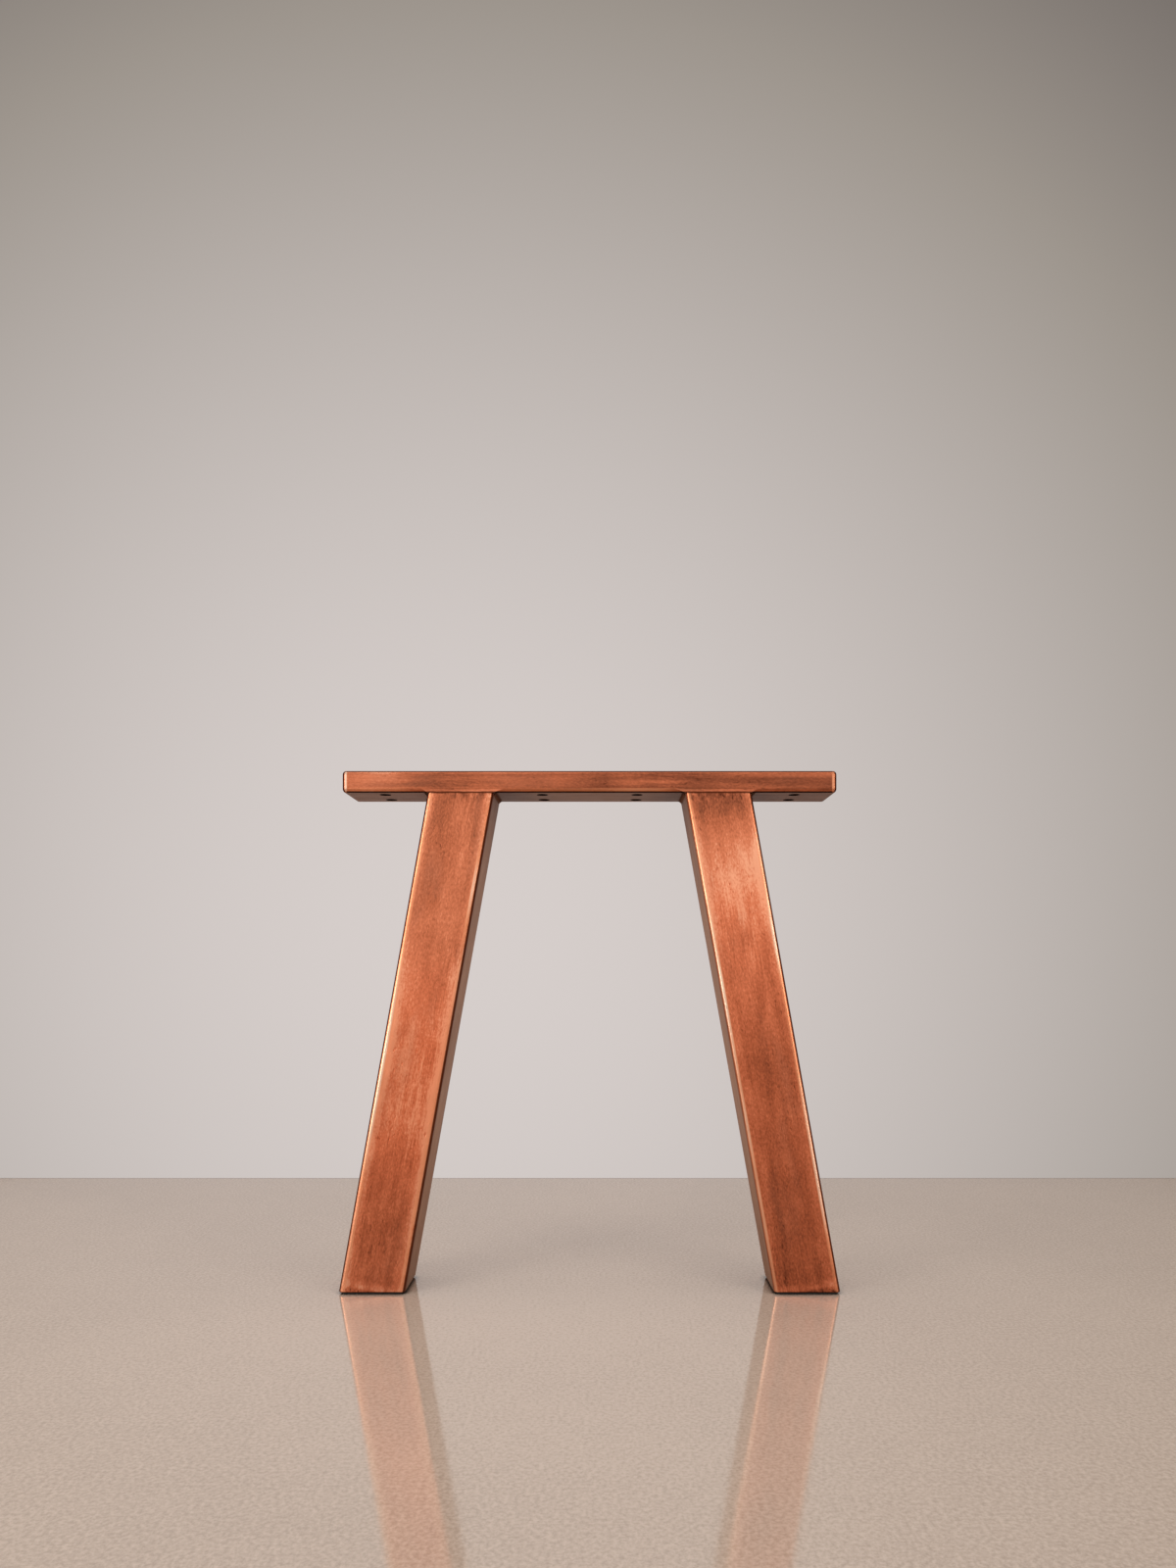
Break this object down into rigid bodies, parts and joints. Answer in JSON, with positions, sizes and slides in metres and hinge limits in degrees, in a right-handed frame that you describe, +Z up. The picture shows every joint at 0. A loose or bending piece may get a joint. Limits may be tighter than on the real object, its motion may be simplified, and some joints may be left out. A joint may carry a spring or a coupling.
{
  "type": "trestle table leg",
  "caption": "Welded A-shaped trestle leg of square and rectangular steel tube in a copper finish; carries one end of a table top screwed to its flat top rail.",
  "frame": {"origin": "on the floor, midway between the two feet and midway between the front and back faces", "axes": "+X along the top rail, +Y from the front face to the back face, +Z up"},
  "size_m": [0.6904, 0.09, 0.72],
  "materials": {
    "copper_steel": "copper plated steel, brushed and patinated by hand, clear sealed",
    "weld_metal": "weld metal under the same copper finish, darker in the corners",
    "foot_pad": "matt black glued pad"
  },
  "bodies": {
    "root": {"top_rail": "copper_steel", "rail_cap_left": "copper_steel", "leg_left": "copper_steel", "foot_plate_left": "copper_steel", "foot_pad_left": "foot_pad", "rail_cap_right": "copper_steel", "leg_right": "copper_steel", "foot_plate_right": "copper_steel", "foot_pad_right": "foot_pad", "weld_left_inner": "weld_metal", "weld_left_outer": "weld_metal", "weld_left_front": "weld_metal", "weld_left_back": "weld_metal", "weld_right_inner": "weld_metal", "weld_right_outer": "weld_metal", "weld_right_front": "weld_metal", "weld_right_back": "weld_metal"}
  },
  "joints": []
}
